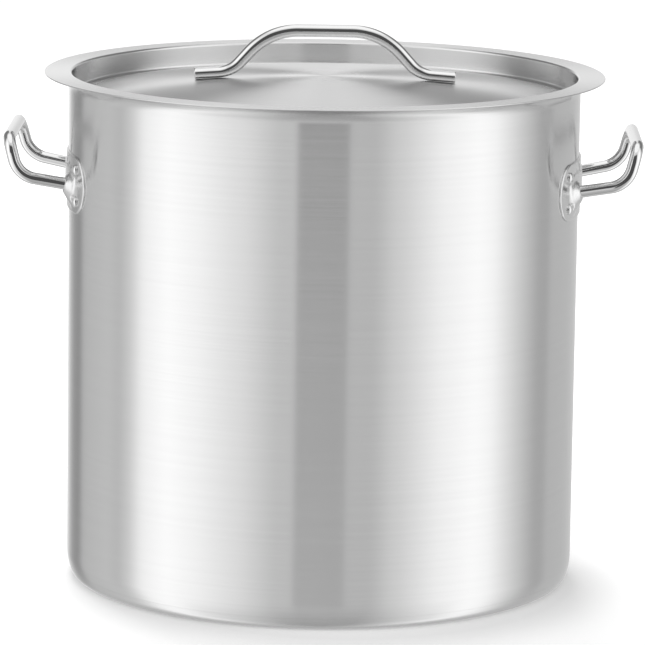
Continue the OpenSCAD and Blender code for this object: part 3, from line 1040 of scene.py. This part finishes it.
def plate_solid(name, flat, triangles, material, side):
    """Closes the outer face with a back face, a sheet's thickness behind it, and walls along its borders."""
    used = sorted({i for t in triangles for i in t})
    order = {i: k for k, i in enumerate(used)}
    heights = [sheet_height(flat[i].x, flat[i].y) for i in used]
    front = [wall_point(flat[i].x, flat[i].y, h) for i, h in zip(used, heights)]
    back = [wall_point(flat[i].x, flat[i].y, max(PLATE_LEAST, h - PLATE_T)) for i, h in zip(used, heights)]
    outward = []
    for t in triangles:
        a, b, c = (flat[i] for i in t)
        facing = (b - a).cross(c - a) > 0
        outward.append(tuple(order[i] for i in (t if facing else t[::-1])))
    n = len(used)
    # A dict keeps the order of the edges, so that the walls come out the same each run
    sides = dict.fromkeys(edge for t in outward for edge in zip(t, t[1:] + t[:1]))
    walls = [(b, a, n + a, n + b) for a, b in sides if (b, a) not in sides]
    faces = outward + [tuple(n + i for i in reversed(t)) for t in outward] + walls
    return new_piece(name, *mirrored(front + back, faces, side), material)


# ---------------------------------------------------------------- rivets


def rivet_mesh(material):
    """One rivet along +X, level with the origin: X is the distance from the pot's axis."""
    inside = WALL_R - WALL_T
    cap = HEAD_ROUND * HEAD_H
    ball = (HEAD_R ** 2 + cap ** 2) / (2 * cap)
    top = SHEET_R + HEAD_H
    half = asin(HEAD_R / ball)
    profile = [(0, top)]
    profile += [(ball * sin(half * k / 8), top - ball + ball * cos(half * k / 8)) for k in range(1, 9)]
    profile += [(HEAD_R, SHEET_R + 0.25 * MM), (HEAD_R - 0.1 * MM, SHEET_R - HEAD_SUNK)]
    profile += [(SHANK_R, SHEET_R - HEAD_SUNK), (SHANK_R, inside + INNER_HEAD_SUNK)]
    profile += [(INNER_HEAD_R - 0.1 * MM, inside + INNER_HEAD_SUNK)]
    profile += [(INNER_HEAD_R - narrower * MM, inside - share * INNER_HEAD_H)
                for narrower, share in ((0, 0.3), (0.5, 0.85), (1.4, 1))]
    profile += [(0, inside - INNER_HEAD_H)]
    around = RIVET_SIDES
    vertices = []
    rows = []
    for r, x in profile:
        if r == 0:
            rows.append([len(vertices)] * around)
            vertices.append((x, 0, 0))
        else:
            rows.append(list(range(len(vertices), len(vertices) + around)))
            vertices += [(x, r * cos(2 * pi * k / around), r * sin(2 * pi * k / around)) for k in range(around)]
    faces = []
    for low, high in zip(rows, rows[1:]):
        for k in range(around):
            j = (k + 1) % around
            quad = [low[k], high[k], high[j], low[j]]
            faces.append(tuple(dict.fromkeys(quad)))
    return new_piece("rivet", vertices, faces, material)


def rivet_tree():
    """Geometry Nodes: four copies of a rivet, at two angles and two heights."""
    tree = bpy.data.node_groups.new("rivet_places", "GeometryNodeTree")
    face = tree.interface
    face.new_socket("Rivet", in_out="INPUT", socket_type="NodeSocketGeometry")
    for name in ("Angle", "Middle angle", "Middle height", "Half height"):
        face.new_socket(name, in_out="INPUT", socket_type="NodeSocketFloat")
    face.new_socket("Finish", in_out="INPUT", socket_type="NodeSocketMaterial")
    face.new_socket("Rivets", in_out="OUTPUT", socket_type="NodeSocketGeometry")
    n = Nodes(tree)
    inputs = n.add("NodeGroupInput").outputs
    index = n.add("GeometryNodeInputIndex").outputs[0]
    line = n.add("GeometryNodeMeshLine", {"Count": 4, "Offset": (0, 0, 0)}).outputs[0]
    places = n.add("GeometryNodeMeshToPoints", {0: line}).outputs[0]
    upper = n.math("MODULO", index, 2.0)
    later = n.math("FLOOR", n.math("DIVIDE", index, 2.0))
    up_or_down = n.math("MULTIPLY_ADD", upper, 2.0, -1.0)
    left_or_right = n.math("MULTIPLY_ADD", later, 2.0, -1.0)
    height = n.math("MULTIPLY_ADD", up_or_down, inputs["Half height"], inputs["Middle height"])
    turn = n.math("MULTIPLY_ADD", left_or_right, inputs["Angle"], inputs["Middle angle"])
    lift = n.add("ShaderNodeCombineXYZ", {"Z": height}).outputs[0]
    spin = n.add("ShaderNodeCombineXYZ", {"Z": turn}).outputs[0]
    placed = n.add("GeometryNodeSetPosition", {"Geometry": places, "Offset": lift}).outputs[0]
    copies = n.add("GeometryNodeInstanceOnPoints", {"Points": placed, "Instance": inputs["Rivet"], "Rotation": spin})
    real = n.add("GeometryNodeRealizeInstances", {0: copies.outputs[0]}).outputs[0]
    done = n.add("GeometryNodeSetMaterial", {"Geometry": real, "Material": inputs["Finish"]}).outputs[0]
    n.add("NodeGroupOutput", {"Rivets": done})
    return tree


def make_rivets(name, tree, middle, material):
    """Four rivets of one handle as one plain mesh."""
    single = rivet_mesh(material)
    modifier = single.modifiers.new("rivets", "NODES")
    modifier.node_group = tree
    values = {"Angle": RIVET_ANGLE, "Middle angle": middle, "Middle height": PLATE_Z,
              "Half height": RIVET_HALF_H, "Finish": material}
    for item in tree.interface.items_tree:
        if item.in_out == "INPUT" and item.name in values:
            modifier[item.identifier] = values[item.name]
    bpy.context.view_layer.update()
    shaped = single.evaluated_get(bpy.context.evaluated_depsgraph_get())
    mesh = bpy.data.meshes.new_from_object(shaped)
    mesh.name = name
    bpy.data.objects.remove(single)
    return new_object(name, mesh)


# ---------------------------------------------------------------- the whole pot


def dress(piece, body, node):
    """Puts a piece on its body, in the place of a CAD node, and hides that node."""
    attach(piece, body)
    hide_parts(node)


def finish_node(node, material):
    """A CAD node keeps its shape and gets a better material."""
    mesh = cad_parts[node].data
    mesh.materials.clear()
    mesh.materials.append(material)


bpy.context.scene.view_settings.view_transform = "Standard"
add_camera()
add_world()
add_floor()
add_lamp()

wall_steel = brushed_wall()
lid_steel = spun_steel("spun_lid", 0.74, 0.2, 1.0, 0.34)
base_steel = spun_steel("base_steel", 0.72, 0.22, 0.9)
bar_steel = polished_steel("polished_bar")
tube_steel = polished_steel("polished_tube")
plate_steel = pressed_steel()
rivet_steel = polished_steel("rivet_steel", 0.76, 0.12)
weld = weld_metal()

dress(make_pot_shell(wall_steel), "pot", "pot_shell")
dress(make_base_cap(base_steel), "pot", "base_cap")
dress(make_lid(lid_steel), "lid", "lid_shell")
tube = make_lid_handle(tube_steel)
dress(tube, "lid", "lid_handle")
mirror_bright = [tube]
places = rivet_tree()
for word, side, middle in (("right", 1, 0.0), ("left", -1, pi)):
    bar = make_bar(word + "_bar", bar_steel, side)
    dress(bar, "pot", word + "_handle_bar")
    dress(make_plate(word + "_plate", plate_steel, side), "pot", word + "_handle_plate")
    rivets = make_rivets(word + "_rivets", places, middle, rivet_steel)
    dress(rivets, "pot", word + "_handle_rivets")
    mirror_bright += [bar, rivets]
    finish_node(word + "_handle_welds", weld)
finish_node("base_core_disc", rolled_aluminium())
add_front_card(mirror_bright)
